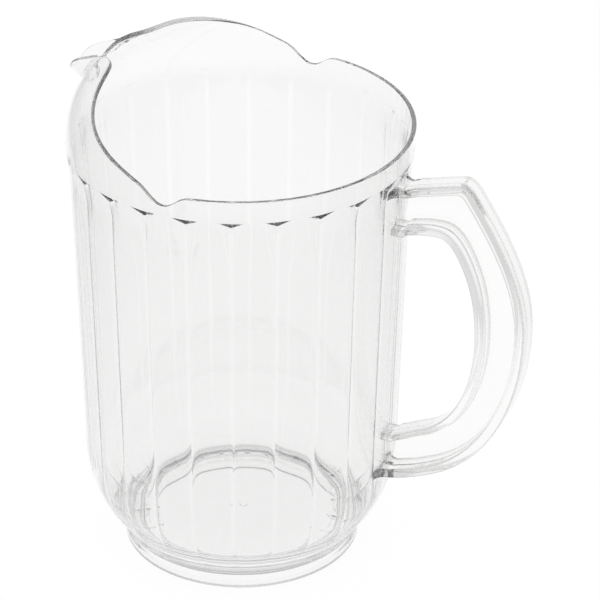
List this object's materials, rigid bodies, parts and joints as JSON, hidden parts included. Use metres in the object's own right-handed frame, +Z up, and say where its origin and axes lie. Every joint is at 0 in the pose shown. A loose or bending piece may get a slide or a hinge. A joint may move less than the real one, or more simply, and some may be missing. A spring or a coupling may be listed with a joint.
{
  "type": "pitcher",
  "caption": "Clear moulded plastic beer pitcher with a fluted inside, a hooded pouring beak, side lips in the rim, a D-shaped I-section handle and a short foot.",
  "frame": {"origin": "centre of the foot's underside, on the axis of the round wall, at the level of the table", "axes": "+Z up along the wall's axis, +X towards the handle, so the pouring beak is at -X and the side lips are at +Y and -Y"},
  "size_m": [0.1911, 0.133, 0.2036],
  "materials": {
    "vessel": "clear, polished",
    "handle": "clear, polished",
    "foot_ring": "clear, polished"
  },
  "bodies": {
    "root": {"vessel": "vessel", "handle": "handle", "foot_ring": "foot_ring"}
  },
  "joints": []
}
